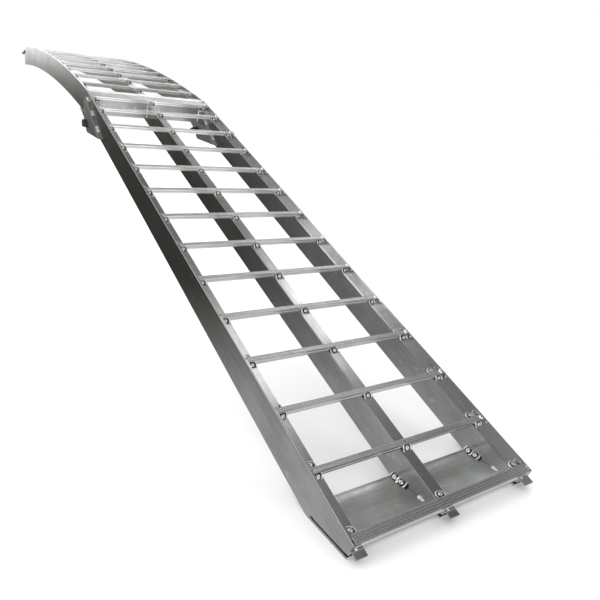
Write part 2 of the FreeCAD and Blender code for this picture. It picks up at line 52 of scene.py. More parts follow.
MM = 0.001
INCLINE = math.radians(22)
ARCH_START = math.radians(6.5)
FOLD_RUN = 1150 * MM
ARCH_RADIUS = 4100 * MM
UPPER_RUN = 932 * MM
RAIL_WIDTH = 17.5 * MM
RAIL_DEPTH = 44.5 * MM
HALF_WIDTH = 143 * MM
RUNG_PITCH = 88.9 * MM
RUNG_HALF = 4 * MM
END_RUNG_HALF = 6.2 * MM
END_RUNG_RUN = 1.8 * MM
FOLD_RUNG_HALF = 10 * MM
FOLD_RUNG_RUN = 12 * MM
PLATE = 5 * MM
LUG_PLATE = 5 * MM
LIP_WALL = 3.4 * MM
RUNG_HEIGHT = 7.5 * MM
END_RUNG_HEIGHT = 10.5 * MM
CROSS_DEPTH = 36 * MM
TOE_DEPTH = 17 * MM
SOLE_LEAD = 4.5 * MM
TAB_LEAD = 14.5 * MM
CLEARANCE = 0.4 * MM
SIDES = {"left": -1, "right": 1}
RAIL_X = {
    "left": RAIL_WIDTH / 2 - HALF_WIDTH,
    "middle": 0.0,
    "right": HALF_WIDTH - RAIL_WIDTH / 2,
}
# middle of the part of each rail's top that a lip leaves free
LEDGE_X = {
    "left": RAIL_X["left"] + LIP_WALL / 2,
    "middle": 0.0,
    "right": RAIL_X["right"] - LIP_WALL / 2,
}


def turned(angle):
    return Matrix.Rotation(angle, 4, "X")


def moved(x, y, z):
    return Matrix.Translation((x, y, z))


tip_drop = TOE_DEPTH - SOLE_LEAD * math.tan(INCLINE)
tip_reach = tip_drop * math.sin(INCLINE) - SOLE_LEAD * math.cos(INCLINE)
heel_run = (RAIL_DEPTH - TOE_DEPTH) / math.tan(INCLINE)
heel_reach = heel_run * math.cos(INCLINE) + RAIL_DEPTH * math.sin(INCLINE)
LOWER = moved(0, -(tip_reach + heel_reach) / 2, TOE_DEPTH * math.cos(INCLINE)) @ turned(INCLINE)
UPPER = LOWER @ moved(0, FOLD_RUN, 0) @ turned(-ARCH_START)
ARCH_CENTRE = UPPER @ Vector((0, 0, -ARCH_RADIUS))


def on_lower(x, run, rise=0.0):
    """Frame by the lower rails: x across, y up along the rails, z out of the tread."""
    return LOWER @ moved(x, run, rise)


def on_upper(x, run, rise=0.0):
    """The same by the arched rails, square to the arch."""
    turn = turned(-run / ARCH_RADIUS)
    return UPPER @ moved(x, 0, -ARCH_RADIUS) @ turn @ moved(0, 0, ARCH_RADIUS + rise)


# ---------------------------------------------------------------- materials

class Nodes:
    """Short calls for one node tree."""

    def __init__(self, tree):
        self.tree = tree
        tree.nodes.clear()

    def put(self, kind, settings=None, **inputs):
        node = self.tree.nodes.new(kind)
        for key, value in (settings or {}).items():
            setattr(node, key, value)
        for key, value in inputs.items():
            name = key.replace("_", " ")
            socket = node.inputs[int(key[1:])] if key[1:].isdigit() else node.inputs[name]
            self.feed(socket, value)
        return node

    def feed(self, socket, value):
        if isinstance(value, bpy.types.NodeSocket):
            self.tree.links.new(value, socket)
        else:
            socket.default_value = value

    def math(self, operation, a, b=0.0):
        return self.put("ShaderNodeMath", {"operation": operation}, i0=a, i1=b).outputs[0]

    def product(self, first, *others):
        for other in others:
            first = self.math("MULTIPLY", first, other)
        return first

    def total(self, first, *others):
        for other in others:
            first = self.math("ADD", first, other)
        return first

    def mix(self, factor, low, high):
        """Colour between two colours."""
        node = self.put("ShaderNodeMix", {"data_type": "RGBA"})
        self.feed(node.inputs["Factor"], factor)
        self.feed(node.inputs[6], low)
        self.feed(node.inputs[7], high)
        return node.outputs[2]

    def between(self, value, low, high, to_low=0.0, to_high=1.0):
        """value from low..high to to_low..to_high, clamped."""
        node = self.put(
            "ShaderNodeMapRange", {"clamp": True, "interpolation_type": "SMOOTHSTEP"},
            Value=value, From_Min=low, From_Max=high, To_Min=to_low, To_Max=to_high,
        )
        return node.outputs[0]

    def noise(self, vector, stretch, detail=3.0, roughness=0.55):
        """Noise with its own number of waves per metre along each axis."""
        scaled = self.put(
            "ShaderNodeVectorMath", {"operation": "MULTIPLY"}, i0=vector, i1=stretch
        ).outputs[0]
        node = self.put(
            "ShaderNodeTexNoise", Vector=scaled, Scale=1.0, Detail=detail, Roughness=roughness
        )
        return node.outputs["Fac"]


SCRATCHED = (0.9, 0.9, 0.9, 1.0)
# grey and share of the painted shade that darkens the rungs towards the foot
PAINTED_SHADE_GREY = (0.2, 0.2, 0.195, 1.0)
FOOT_PAINTED_SHADE = 0.42
# from where to where along the lower rails the painted shade at the foot fades out, in metres
PAINTED_SHADE_FADE = (0.15, 0.95)


def section_coordinates(n, section):
    """x across, y along the rails and z out of the tread, for a material that has to follow the
    straight or the arched section."""
    place = n.put("ShaderNodeTexCoord").outputs["Object"]
    if section == "upper":
        vector_math = "ShaderNodeVectorMath"
        subtract = {"operation": "SUBTRACT"}
        offset = n.put(vector_math, subtract, i0=place, i1=tuple(ARCH_CENTRE)).outputs[0]
        across, ahead, up = n.put("ShaderNodeSeparateXYZ", Vector=offset).outputs
        run = n.math("MULTIPLY", n.math("ARCTAN2", ahead, up), ARCH_RADIUS)
        sideways = n.put("ShaderNodeCombineXYZ", X=across, Y=0.0, Z=0.0).outputs[0]
        radial = n.put(vector_math, subtract, i0=offset, i1=sideways).outputs[0]
        reach = n.put(vector_math, {"operation": "LENGTH"}, i0=radial).outputs["Value"]
        rise = n.math("SUBTRACT", reach, ARCH_RADIUS)
        return n.put("ShaderNodeCombineXYZ", X=across, Y=run, Z=rise).outputs[0]
    mapping = n.put("ShaderNodeMapping", {"vector_type": "POINT"}, Vector=place)
    mapping.inputs["Rotation"].default_value = (-INCLINE, 0.0, 0.0)
    return mapping.outputs[0]


def new_material(name):
    material = bpy.data.materials.new(name)
    material.use_nodes = True
    return material, Nodes(material.node_tree)


def output(n, colour, roughness, bump, metallic=1.0, **more):
    shader = n.put(
        "ShaderNodeBsdfPrincipled",
        Base_Color=colour, Roughness=roughness, Metallic=metallic, Normal=bump, **more
    )
    n.put("ShaderNodeOutputMaterial", Surface=shader.outputs[0])


def extruded_metal(name, section, along, light, dark, rough, bump, brushed=0.0):
    """Mill finish aluminium: fine die lines along the extrusion, cloudy oxide and stray
    scratches. A brushed metal spreads its reflections across x, as grooved rungs do, and has
    painted shade that darkens its colour towards the foot."""
    material, n = new_material(name)
    place = section_coordinates(n, section)
    if along == "run":
        line_waves, band_waves = (1500.0, 5.0, 1500.0), (260.0, 2.0, 260.0)
        scratch_waves = (600.0, 60.0, 90.0)
    else:
        line_waves, band_waves = (5.0, 1500.0, 1500.0), (2.0, 260.0, 260.0)
        scratch_waves = (60.0, 500.0, 90.0)
    lines = n.noise(place, line_waves, 2.0)
    bands = n.noise(place, band_waves, 2.0)
    clouds = n.noise(place, (16.0, 9.0, 16.0), 4.0, 0.6)
    grain = n.noise(place, (900.0, 900.0, 900.0), 2.0)
    scratches = n.between(n.noise(place, scratch_waves, 1.0), 0.68, 0.74)

    patches = n.product(n.between(clouds, 0.3, 0.7), 0.45)
    tone = n.total(n.product(lines, 0.35), n.product(bands, 0.35), patches)
    colour = n.mix(n.between(tone, 0.25, 0.95), dark, light)
    colour = n.mix(n.product(scratches, 0.35), colour, SCRATCHED)
    # painted shade: the rung colour is darkened towards the foot, where the rung tops look dark
    if brushed and section == "lower":
        run = n.put("ShaderNodeSeparateXYZ", Vector=place).outputs["Y"]
        foot_shaded = n.mix(FOOT_PAINTED_SHADE, colour, PAINTED_SHADE_GREY)
        colour = n.mix(n.between(run, *PAINTED_SHADE_FADE), foot_shaded, colour)

    rough_low, rough_high = rough
    worn = n.total(n.product(clouds, 0.7), n.product(lines, 0.3))
    roughness = n.between(worn, 0.3, 0.7, rough_high, rough_low)
    height = n.total(lines, n.product(bands, 1.3), n.product(grain, 0.35))
    height = n.math("SUBTRACT", height, n.product(scratches, 0.5))
    relief = n.put("ShaderNodeBump", Strength=bump, Distance=0.00012, Height=height)
    tangent = n.put("ShaderNodeCombineXYZ", X=1.0).outputs[0]
    output(n, colour, roughness, relief.outputs[0],
           Anisotropic=brushed, Anisotropic_Rotation=0.25, Tangent=tangent)
    return material


def weld_metal(name):
    """Bright rippled weld metal with dark soot along the toes, and painted shade that darkens the
    craters, the ditches and the troughs between ripples.
    """
    material, n = new_material(name)
    place = n.put("ShaderNodeTexCoord").outputs["Object"]
    soot_and_shade = n.put("ShaderNodeAttribute", {"attribute_name": "soot_and_shade"}).outputs["Fac"]
    blotch = n.noise(place, (300.0, 300.0, 300.0), 3.0)
    fine = n.noise(place, (1400.0, 1400.0, 1400.0), 2.0)
    # the darkness is soot along the toes and painted shade in the craters, ditches and ripple
    # troughs
    shade = n.total(soot_and_shade, n.product(n.math("SUBTRACT", blotch, 0.5), 0.5))
    clean, soot_and_shade_dark = (0.95, 0.95, 0.94, 1.0), (0.06, 0.058, 0.055, 1.0)
    colour = n.mix(n.between(shade, 0.25, 0.9), clean, soot_and_shade_dark)
    roughness = n.between(shade, 0.0, 1.0, 0.22, 0.55)
    height = n.total(blotch, n.product(fine, 0.5))
    relief = n.put("ShaderNodeBump", Strength=0.35, Distance=0.00025, Height=height)
    output(n, colour, roughness, relief.outputs[0])
    return material


def plated_steel(name, light, dark, rough):
    """Dull zinc plate with stains and rubbed spots."""
    material, n = new_material(name)
    place = n.put("ShaderNodeTexCoord").outputs["Object"]
    stain = n.noise(place, (120.0, 120.0, 120.0), 4.0, 0.6)
    fine = n.noise(place, (1800.0, 1800.0, 1800.0), 2.0)
    colour = n.mix(n.between(stain, 0.32, 0.66), dark, light)
    roughness = n.between(stain, 0.3, 0.7, rough + 0.12, rough - 0.06)
    height = n.total(n.product(stain, 0.4), fine)
    relief = n.put("ShaderNodeBump", Strength=0.2, Distance=0.0001, Height=height)
    output(n, colour, roughness, relief.outputs[0])
    return material


def dipped_vinyl(name):
    """Dark red plastisol: satin, slightly orange-peeled, rubbed paler in places."""
    material, n = new_material(name)
    place = n.put("ShaderNodeTexCoord").outputs["Object"]
    peel = n.noise(place, (420.0, 420.0, 420.0), 2.0)
    scuff = n.between(n.noise(place, (60.0, 130.0, 60.0), 4.0, 0.65), 0.58, 0.74)
    colour = n.mix(scuff, (0.19, 0.006, 0.010, 1.0), (0.26, 0.035, 0.035, 1.0))
    roughness = n.between(scuff, 0.0, 1.0, 0.32, 0.55)
    relief = n.put("ShaderNodeBump", Strength=0.25, Distance=0.0003, Height=peel)
    output(n, colour, roughness, relief.outputs[0], metallic=0.0, Specular_IOR_Level=0.5)
    return material


GREY = (0.64, 0.65, 0.64, 1.0)
DULL = (0.47, 0.475, 0.465, 1.0)
BRIGHT = (0.95, 0.95, 0.945, 1.0)
SOFT = (0.82, 0.825, 0.82, 1.0)
SHEET = (0.50, 0.51, 0.50, 1.0)
DIM = (0.35, 0.355, 0.345, 1.0)
ZINC = (0.15, 0.15, 0.155, 1.0)
STAINED_ZINC = (0.05, 0.05, 0.05, 1.0)
materials = {
    "weld": weld_metal("weld_metal"),
    "steel": plated_steel("zinc_plate", ZINC, STAINED_ZINC, 0.36),
    "vinyl": dipped_vinyl("dipped_vinyl"),
}
for section in ("lower", "upper"):
    materials[f"{section}_rail"] = extruded_metal(
        f"mill_rail_{section}", section, "run", GREY, DULL, (0.14, 0.26), 0.12)
    materials[f"{section}_rung"] = extruded_metal(
        f"mill_rung_{section}", section, "across", BRIGHT, SOFT, (0.2, 0.27), 0.03, 0.75)
    materials[f"{section}_plate"] = extruded_metal(
        f"sheet_{section}", section, "across", SHEET, DIM, (0.26, 0.42), 0.1)


# ---------------------------------------------------------------- mesh building

class Piece:
    """One mesh piece made of swept and stacked rings."""

    def __init__(self, name):
        self.name = name
        self.points = []
        self.soot_and_shade = []
        self.faces = []

    def rings(self, rings, soot_and_shade=None, caps=True):
        """Joins closed rings of equal count with quads. Caps close the first and the last."""
        start = len(self.points)
        count = len(rings[0])
        for number, ring in enumerate(rings):
            self.points += [tuple(point) for point in ring]
            self.soot_and_shade += soot_and_shade[number] if soot_and_shade else [0.0] * count
        for number in range(len(rings) - 1):
            for index in range(count):
                a = start + number * count + index
                b = start + number * count + (index + 1) % count
                self.faces.append((a, b, b + count, a + count))
        if caps:
            self.faces.append(tuple(start + index for index in reversed(range(count))))
            end = start + (len(rings) - 1) * count
            self.faces.append(tuple(end + index for index in range(count)))

    def done(self, body, material, sharp=40, replaces=()):
        mesh = bpy.data.meshes.new(self.name)
        mesh.from_pydata(self.points, [], self.faces)
        mesh.validate()
        attribute = mesh.attributes.new("soot_and_shade", "FLOAT", "POINT")
        attribute.data.foreach_set("value", self.soot_and_shade)
        mesh.shade_smooth()
        mesh.set_sharp_from_angle(angle=math.radians(sharp))
        mesh.materials.append(materials[material])
        mesh.update()
        piece = bpy.data.objects.new(self.name, mesh)
        bpy.context.scene.collection.objects.link(piece)
        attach(piece, body)
        if replaces:
            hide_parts(*replaces)


def spread(low, high, count):
    return [low + (high - low) * index / (count - 1) for index in range(count)]


def circle(count):
    return [2 * math.pi * index / count for index in range(count)]


def smooth(value, low, high):
    share = min(1.0, max(0.0, (value - low) / (high - low)))
    return share * share * (3 - 2 * share)


PUDDLE_PROFILE = (
    # share of the radius, height and darkness: soot at the outer edge, painted shade in the ditch
    # and the pit
    (1.0, -0.3, 0.8), (0.97, 0.4, 0.2), (0.91, 1.1, 0.0), (0.83, 1.3, 0.0), (0.76, 0.9, 0.3),
    (0.69, 0.2, 1.0), (0.6, -0.1, 1.0), (0.5, 0.1, 1.0), (0.42, 0.9, 0.7), (0.33, 1.7, 0.05),
    (0.22, 2.0, 0.0), (0.12, 1.7, 0.4), (0.04, 1.3, 0.9),
)


def puddle(piece, place, radius=7.2 * MM, tilt=45.0, reach=None):
    """A round tack weld beside a rung: a bright rolled rim, a dark ditch and a lump in the
    middle with a pit. The place has its origin in the corner, y towards the rung, z up. The
    puddle leans against the rung by its tilt, and its middle is at a reach from the corner."""
    turns = circle(28)
    size = radius * rng.uniform(0.92, 1.08)
    bulge = rng.uniform(0, 2 * math.pi)
    open_turn = rng.uniform(-0.6, 0.6) + math.pi / 2
    lean = rng.uniform(-0.12, 0.12) * size
    slope = math.radians(tilt)
    across = Vector((1, 0, 0))
    along = Vector((0, math.cos(slope), math.sin(slope)))
    out = Vector((0, -math.sin(slope), math.cos(slope)))
    centre = out * size * 0.42 if reach is None else Vector((0, -reach, 0.4 * MM))
    rings, soot_and_shade = [], []
    skirt = [centre + across * math.cos(turn) * size * 0.9 + along * math.sin(turn) * size * 0.9
             - out * 2.2 * MM for turn in turns]
    rings.append([place @ point for point in skirt])
    soot_and_shade.append([0.8] * len(turns))
    for level, height, dark in PUDDLE_PROFILE:
        ring, shades = [], []
        for turn in turns:
            rim = size * (1 + 0.06 * math.sin(2 * turn + bulge) + 0.04 * math.sin(3 * turn - bulge))
            gap = smooth(math.cos(turn - open_turn), 0.2, 1.0) * smooth(level, 0.6, 0.75)
            lift = (height - 0.75 * gap) * MM + 0.09 * MM * math.sin(9 * turn + bulge + 14 * level)
            flat = across * math.cos(turn) * rim * level + along * math.sin(turn) * rim * level
            slide = across * lean * (1 - level)
            ring.append(place @ (centre + flat + slide + out * lift))
            # painted shade darkens the ditch, the pit and the low gap in the rim; the outer edge
            # gets soot
            shades.append(min(1.0, dark + 0.55 * gap))
        rings.append(ring)
        soot_and_shade.append(shades)
    piece.rings(rings, soot_and_shade=soot_and_shade)


def bead(piece, start, end, out, width, height, pitch=2.6 * MM, wobble=0.1):
    """A ripple-by-ripple weld bead from start to end, standing towards out."""
    start, end, out = Vector(start), Vector(end), Vector(out).normalized()
    length = (end - start).length
    along = (end - start) / length
    out = (out - along * out.dot(along)).normalized()
    side = along.cross(out)
    stations = max(8, int(length / (0.45 * MM)))
    edges = spread(-1.0, 1.0, 9)
    phase = rng.uniform(0, 1)
    sway = rng.uniform(0, 6)
    rings, soot_and_shade = [], []
    for step in spread(0.0, length, stations):
        ends = [smooth(way, -0.1 * width, 0.6 * width) for way in (step, length - step)]
        taper = math.sqrt(ends[0] * ends[1])
        slow, quick = math.sin(step * 310 + sway), math.sin(step * 770 - sway)
        swell = 1 + wobble * slow + 0.5 * wobble * quick
        ring, shades = [], []
        for edge in edges:
            wave = abs(math.sin(math.pi * ((step / pitch) + 0.55 * edge * edge + phase))) ** 0.6
            dome = math.sqrt(max(0.0, 1 - edge * edge))
            rise = height * dome * (0.66 + 0.34 * wave) * swell * taper
            shift = side * edge * width / 2 * swell * (0.6 + 0.4 * taper)
            ring.append(start + along * step + shift + out * (rise - 0.25 * MM))
            # painted shade in the troughs between ripples, soot along the toes
            shades.append(0.55 * (1 - wave) * dome + 0.75 * smooth(abs(edge), 0.75, 1.0))
        under = [start + along * step + side * edge * width / 2.4 - out * 1.0 * MM
                 for edge in (0.9, 0.0, -0.9)]
        rings.append(ring + under)
        soot_and_shade.append(shades + [0.8] * 3)
    piece.rings(rings, soot_and_shade=soot_and_shade)


def blob(piece, place, size, height, stretch=1.0):
    """A low lump of weld metal on the surface z = 0 of its place."""
    turns = circle(20)
    phase = rng.uniform(0, 6)
    rings, soot_and_shade = [], []
    for level in (1.0, 0.93, 0.8, 0.62, 0.42, 0.2, 0.05):
        ring = []
        for turn in turns:
            rim = size * (1 + 0.1 * math.sin(2 * turn + phase) + 0.05 * math.sin(5 * turn - phase))
            ripple = 0.05 * height * math.sin(14 * level + 3 * turn + phase)
            lift = height * math.sqrt(max(0.0, 1 - level * level)) + ripple * (1 - level)
            x, y = math.cos(turn) * rim * level, math.sin(turn) * rim * level * stretch
            ring.append(place @ Vector((x, y, lift - 0.3 * MM)))
        rings.append(ring)
        soot_and_shade.append([0.75 * smooth(level, 0.85, 1.0)] * len(turns))
    piece.rings(rings, soot_and_shade=soot_and_shade)


def along_x(centre, x, turn, radius):
    """A point at a turn and radius about an axis through centre along X."""
    return Vector((x, centre.y + radius * math.sin(turn), centre.z + radius * math.cos(turn)))


def hexagon(turn, across):
    """Radius of a hexagon with the given width across flats."""
    return across / 2 / math.cos((turn + math.pi / 6) % (math.pi / 3) - math.pi / 6)


# ---------------------------------------------------------------- CAD nodes that stay

def finish_node(name, material, width, segments=2):
    """The CAD node with broken edges and its own material."""
    node = frame["nodes"][name]
    node.data.materials.clear()
    node.data.materials.append(materials[material])
    node.data.shade_smooth()
    weld = node.modifiers.new("weld", "WELD")
    weld.merge_threshold = 0.00001
    bevel = node.modifiers.new("bevel", "BEVEL")
    bevel.width = width
    bevel.segments = segments
    bevel.limit_method = "ANGLE"
    bevel.angle_limit = math.radians(30)
    bevel.use_clamp_overlap = True
    node.modifiers.new("normals", "WEIGHTED_NORMAL")


PLATE_WORDS = ("cross_tube", "plate", "lug", "tab", "finger")
lower_nodes = frame["record"]["behaviour"]["bodies"]["lower_section"]
for name in frame["nodes"]:
    section = "lower" if name in lower_nodes else "upper"
    if "rung" in name:
        finish_node(name, f"{section}_rung", 0.12 * MM, 1)
    elif "rail" in name:
        finish_node(name, f"{section}_rail", 0.6 * MM if section == "upper" else 0.3 * MM)
    elif "washers" in name or "spacer" in name:
        finish_node(name, "steel", 0.4 * MM)
    elif any(word in name for word in PLATE_WORDS):
        finish_node(name, f"{section}_plate", 0.5 * MM)


# ---------------------------------------------------------------- rail tops

RIDGES = (-4.6 * MM, 0.0, 4.6 * MM)
RIDGE_HALF = 0.9 * MM
RIDGE_RISE = 0.16 * MM
FINGER_SEAT = 30 * MM


def ridge_ring(place, x):
    """Section of one low ridge on a rail's top."""
    corners = ((-1.0, -0.3), (-0.62, 1.0), (0.62, 1.0), (1.0, -0.3))
    return [place @ Vector((x + across * RIDGE_HALF, 0, up * RIDGE_RISE))
            for across, up in corners]


def rail_ridges(name, body, material, at, low, high, count):
    piece = Piece(name)
    for x in LEDGE_X.values():
        for ridge in RIDGES:
            places = [at(x, run) for run in spread(low, high, count)]
            piece.rings([ridge_ring(place, ridge) for place in places])
    piece.done(body, material, sharp=30)


rail_ridges("lower_rail_ridges", "lower_section", "lower_rail", on_lower,
            0.6 * MM - TAB_LEAD, FOLD_RUN - 1.2 * MM, 2)
rail_ridges("upper_rail_ridges", "upper_section", "upper_rail", on_upper,
            1.2 * MM, UPPER_RUN - FINGER_SEAT - 0.5 * MM, 60)


# ---------------------------------------------------------------- rung welds

def flipped(place):
    """The same corner seen from the other side of the rung."""
    return place @ Matrix.Rotation(math.pi, 4, "Z")


def end_weld(piece, place, sign):
    """A small fillet in the corner between the end of a rung's top and the lip."""
    tilt = Matrix.Rotation(-sign * math.radians(52), 4, "Y")
    corner = place @ moved(-sign * 0.8 * MM, 0, 0.8 * MM) @ tilt
    blob(piece, corner, rng.uniform(3.0, 3.8) * MM, 1.3 * MM, 1.15)


def rung_welds(name, body, at, runs, far_count):
    """Puddles at the foot side of each rung on each rail, on the far side of the first few, and
    a fillet where the rung ends against a lip."""
    piece = Piece(name)
    for number, (run, half, height) in enumerate(runs):
        for side, x in LEDGE_X.items():
            shift = x + rng.uniform(-0.8, 0.8) * MM
            if number == 0 and body == "upper_section":
                # the foot side of this rung is the fold, so its weld is on the other side
                puddle(piece, flipped(at(shift, run + half)))
            elif number > 0:
                puddle(piece, at(shift, run - half))
            else:
                low = at(shift - 3 * MM, run - half, -0.4 * MM) @ Matrix.Rotation(0.6, 4, "X")
                blob(piece, low, 2.4 * MM, 1.5 * MM)
            if number < far_count and (number == 0 or side != "middle"):
                far_side = flipped(at(x + rng.uniform(-1.2, 1.2) * MM, run + half))
                puddle(piece, far_side, 7.4 * MM, 12.0, 6.3 * MM)
        for sign in SIDES.values():
            lip = sign * (HALF_WIDTH - LIP_WALL)
            end_weld(piece, at(lip, run + rng.uniform(-1, 1) * MM, height), sign)
    piece.done(body, "weld", sharp=75)


# place of each rung along the rails, half its width, and the height of its end weld
lower_runs = [(END_RUNG_RUN, END_RUNG_HALF, END_RUNG_HEIGHT - 2.0 * MM)]
lower_runs += [(index * RUNG_PITCH, RUNG_HALF, RUNG_HEIGHT) for index in range(1, 13)]
lower_runs.append((FOLD_RUN - FOLD_RUNG_RUN, FOLD_RUNG_HALF, RUNG_HEIGHT))
upper_runs = [(FOLD_RUNG_RUN, FOLD_RUNG_HALF, RUNG_HEIGHT)]
upper_runs += [((index + 1) * RUNG_PITCH, RUNG_HALF, RUNG_HEIGHT) for index in range(10)]
rung_welds("lower_rung_welds", "lower_section", on_lower, lower_runs, 4)
rung_welds("upper_rung_welds", "upper_section", on_upper, upper_runs, 0)


# ---------------------------------------------------------------- the fold

# ends of the sloping edge of a hinge plate, where it is stitched to the rail
PLATE_TOP = Vector((0, -1.5 * MM, 0))
PLATE_BACK = Vector((0, -140 * MM, 3 * MM - RAIL_DEPTH))
fold_welds = Piece("fold_welds_lower")
lug_welds = Piece("fold_welds_upper")
for side, sign in SIDES.items():
    for face, out in ((HALF_WIDTH, sign), (HALF_WIDTH - RAIL_WIDTH, -sign)):
        place = on_lower(sign * face, FOLD_RUN)
        normal = LOWER.to_3x3() @ Vector((out * 1.0, -0.25, 0.85))
        shift = Vector((out * 1.0 * MM, -0.6 * MM, 1.0 * MM))
        for stitch in (0.05, 0.37, 0.72):
            low = PLATE_TOP.lerp(PLATE_BACK, stitch) + shift
            high = PLATE_TOP.lerp(PLATE_BACK, stitch + rng.uniform(0.1, 0.17)) + shift
            bead(fold_welds, place @ low, place @ high, normal, 3.8 * MM, 1.7 * MM, 3.2 * MM, 0.25)
    # lugs under the arched rail
    for depth in (CLEARANCE + LUG_PLATE, RAIL_WIDTH - CLEARANCE - LUG_PLATE):
        inward = 1 if depth < RAIL_WIDTH / 2 else -1
        x = sign * (HALF_WIDTH - depth)
        low = on_upper(x, 10 * MM, -RAIL_DEPTH) @ Vector()
        high = on_upper(x, 55 * MM, -RAIL_DEPTH) @ Vector()
        outward = UPPER.to_3x3() @ Vector((-sign * inward, 0, -1))
        bead(lug_welds, low, high, outward, 5 * MM, 2.2 * MM)
    # deep cross tubes to the rails, above and beside
    for at, run, piece in (
        (on_lower, FOLD_RUN - FOLD_RUNG_RUN, fold_welds),
        (on_upper, FOLD_RUNG_RUN + CROSS_DEPTH * math.tan(ARCH_START), lug_welds),
    ):
        toe = -1 if at is on_lower else 1
        edge = run + toe * FOLD_RUNG_HALF
        inner = RAIL_WIDTH / 2 if at is on_lower else RAIL_WIDTH / 2 - CLEARANCE
        outer = HALF_WIDTH - RAIL_WIDTH - (PLATE if at is on_lower else -CLEARANCE)
        for x, facing in ((sign * inner, sign), (sign * outer, -sign)):
            top = at(x, edge, -3 * MM) @ Vector()
            bottom = at(x, edge, 1.5 * MM - CROSS_DEPTH) @ Vector()
            normal = at(0, run).to_3x3() @ Vector((facing, toe, 0))
            bead(piece, top, bottom, normal, 5 * MM, 2.6 * MM, pitch=3 * MM, wobble=0.16)
fold_welds.done("lower_section", "weld", sharp=75)
lug_welds.done("upper_section", "weld", sharp=75)


def hinge_bolt(side, sign):
    """Hex bolt with a chamfered head and a threaded end."""
    low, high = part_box(f"hinge_bolt_{side}")
    centre = (low + high) / 2
    outer, inner = (low.x, high.x) if sign < 0 else (high.x, low.x)
    way = -sign
    head, radius, across = 6.4 * MM, 5 * MM, 17 * MM
    turns = circle(72)
    chamfer = 0.94 * across / 2
    piece = Piece(f"bolt_{side}")

    def hex_ring(depth, inset=0.0):
        return [along_x(centre, outer + way * depth, turn, hexagon(turn, across) - inset)
                for turn in turns]

    def round_ring(depth, size):
        return [along_x(centre, outer + way * depth, turn, size) for turn in turns]

    crown = []
    for turn in turns:
        reach = hexagon(turn, across)
        depth = 0.25 * MM + (reach - chamfer) * 0.58
        crown.append(along_x(centre, outer + way * depth, turn, reach))
    dish = ((1.1, 0.4), (0.9, 5.0), (0.25, 5.6))
    rings = [round_ring(depth * MM, size * MM) for depth, size in dish]
    rings += [round_ring(0.25 * MM, chamfer), crown]
    rings += [hex_ring(head - 0.7 * MM), hex_ring(head, 0.5 * MM), round_ring(head, radius)]
    length = abs(inner - outer)
    thread_start = length - 26 * MM
    rings.append(round_ring(thread_start, radius))
    thread_pitch, thread_depth = 1.5 * MM, 0.75 * MM
    steps = int((length - thread_start - 1.2 * MM) / (thread_pitch / 7))
    for depth in spread(thread_start + 0.1 * MM, length - 1.2 * MM, steps):
        ring = []
        for turn in turns:
            wave = abs(((depth / thread_pitch - sign * turn / (2 * math.pi)) % 1.0) - 0.5) * 2
            fade = smooth(length - depth, 1.0 * MM, 3.5 * MM)
            cut = thread_depth * wave * (0.35 + 0.65 * fade)
            ring.append(along_x(centre, outer + way * depth, turn, radius - cut))
        rings.append(ring)
    tip = ((0.6, 4.1), (0.0, 3.5), (0.0, 0.4))
    rings += [round_ring(length - back * MM, size * MM) for back, size in tip]
    piece.rings(rings)
    piece.done("lower_section", "steel", sharp=25, replaces=[f"hinge_bolt_{side}"])


def hinge_nut(side, sign):
    """Lock nut with a rounded collar."""
    low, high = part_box(f"hinge_nut_{side}")
    centre = (low + high) / 2
    start = high.x if sign > 0 else low.x
    way = -sign
    across, thick, total, bore = 17 * MM, 9 * MM, 12 * MM, 5.0 * MM
    turns = circle(72)

    def hex_ring(depth, slope):
        ring = []
        for turn in turns:
            reach = hexagon(turn, across)
            back = max(0.0, reach - 0.95 * across / 2) * slope
            ring.append(along_x(centre, start + way * (depth + back), turn, reach))
        return ring

    def round_ring(depth, size):
        return [along_x(centre, start + way * depth, turn, size) for turn in turns]

    rings = [round_ring(0.0, bore), round_ring(0.0, 0.94 * across / 2), hex_ring(0.3 * MM, 0.5),
             hex_ring(thick - 0.3 * MM, -0.5), round_ring(thick, 0.92 * across / 2)]
    collar, edge = across / 2 - 1.2 * MM, 2 * MM
    for turn in spread(0.0, math.pi / 2, 7):
        depth = total - edge + edge * math.sin(turn)
        rings.append(round_ring(depth, collar - edge + edge * math.cos(turn)))
    rings += [round_ring(total - 0.2 * MM, bore + 0.5 * MM), round_ring(total - 1 * MM, bore)]
    rings.append(round_ring(0.2 * MM, bore))
    piece = Piece(f"nut_{side}")
    piece.rings(rings, caps=False)
    piece.done("lower_section", "steel", sharp=25, replaces=[f"hinge_nut_{side}"])


for side, sign in SIDES.items():
    hinge_bolt(side, sign)
    hinge_nut(side, sign)


# ---------------------------------------------------------------- the foot

foot_welds = Piece("foot_welds")
# height of the foot plate's top above the ground
FOOT_LIFT = 6.4 * MM
FOOT_BEADS = (
    # from where to where across the foot, then width and height
    (18 * MM, 44 * MM, 7 * MM, 2.6 * MM),
    (-14 * MM, -2 * MM, 8 * MM, 3.4 * MM),
)
for side in ("middle", "right", "left"):
    outward = 1 if side == "left" else -1
    edge = RAIL_X[side] + outward * RAIL_WIDTH / 2
    corner = Matrix((
        (0, -outward, 0, edge), (outward, 0, 0, 0), (0, 0, 1, FOOT_LIFT), (0, 0, 0, 1)))
    for reach in (37.0 * MM, 25.0 * MM):
        puddle(foot_welds, moved(0, reach, 0) @ corner, 8.2 * MM)
    for start, end, width, height in FOOT_BEADS:
        low, high = (edge, start, FOOT_LIFT), (edge, end, FOOT_LIFT)
        bead(foot_welds, low, high, (outward, 0, 1), width, height)
foot_welds.done("lower_section", "weld", sharp=75)


# ---------------------------------------------------------------- side tabs and top end

